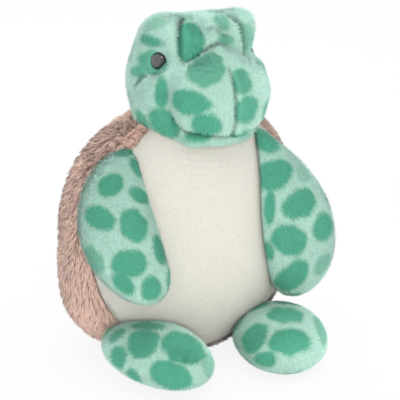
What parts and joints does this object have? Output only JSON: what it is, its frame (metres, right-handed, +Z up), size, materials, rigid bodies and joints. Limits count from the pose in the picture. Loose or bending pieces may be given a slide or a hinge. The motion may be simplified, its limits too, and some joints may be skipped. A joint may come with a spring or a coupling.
{
  "type": "plush turtle",
  "caption": "Soft sea turtle toy that sits upright with spotted flippers and head, a brown shell back, a cream belly and domed eyes.",
  "frame": {"origin": "centre of the flat patch under the torso, on the floor that the turtle sits on", "axes": "+Z up along its height; the turtle faces -Y and its own left side is at +X"},
  "size_m": [0.2196, 0.1913, 0.271],
  "materials": {
    "green_pile": "short plush with darker printed spots",
    "shell_pile": "long brushed plush in clumps",
    "belly_pile": "very short smooth plush",
    "fibre": "loose fibre filling",
    "pouch_cloth": "woven pouch filled with pellets",
    "eye": "dark polished dome",
    "washer": "plain moulded",
    "thread": "twisted sewing thread"
  },
  "bodies": {
    "torso": {"shell_cover": "shell_pile", "belly_cover": "belly_pile", "torso_stuffing": "fibre", "pellet_pouch": "pouch_cloth"},
    "neck": {"neck_thread": "thread"},
    "head": {"head_cover": "green_pile", "head_stuffing": "fibre", "eye_left": "eye", "eye_right": "eye", "eye_washer_left": "washer", "eye_washer_right": "washer"},
    "arm_left": {"arm_cover_left": "green_pile", "arm_stuffing_left": "fibre", "shoulder_thread_left": "thread"},
    "arm_right": {"arm_cover_right": "green_pile", "arm_stuffing_right": "fibre", "shoulder_thread_right": "thread"},
    "leg_left": {"leg_cover_left": "green_pile", "leg_stuffing_left": "fibre", "hip_thread_left": "thread"},
    "leg_right": {"leg_cover_right": "green_pile", "leg_stuffing_right": "fibre", "hip_thread_right": "thread"}
  },
  "joints": [
    {"name": "neck_nod", "type": "hinge", "parent": "torso", "child": "neck", "pos_m": [0, -0.025, 0.2195], "axis": [1, 0, 0], "range_deg": [-12, 4], "stiffness_Nm_per_rad": 0.4},
    {"name": "head_turn", "type": "hinge", "parent": "neck", "child": "head", "pos_m": [0, -0.025, 0.2195], "axis": [0, 0, 1], "range_deg": [-20, 20], "stiffness_Nm_per_rad": 0.05},
    {"name": "shoulder_left_swing", "type": "hinge", "parent": "torso", "child": "arm_left", "pos_m": [0.05631, -0.03617, 0.17755], "axis": [-1, 0, 0], "range_deg": [0, 60], "stiffness_Nm_per_rad": 0.05},
    {"name": "shoulder_right_swing", "type": "hinge", "parent": "torso", "child": "arm_right", "pos_m": [-0.05631, -0.03617, 0.17755], "axis": [-1, 0, 0], "range_deg": [0, 60], "stiffness_Nm_per_rad": 0.05},
    {"name": "hip_left_swing", "type": "hinge", "parent": "torso", "child": "leg_left", "pos_m": [0.0636, -0.01704, 0.0225], "axis": [0, 0, 1], "range_deg": [0, 35], "stiffness_Nm_per_rad": 0.05},
    {"name": "hip_right_swing", "type": "hinge", "parent": "torso", "child": "leg_right", "pos_m": [-0.0636, -0.01704, 0.0225], "axis": [0, 0, -1], "range_deg": [0, 35], "stiffness_Nm_per_rad": 0.05}
  ]
}
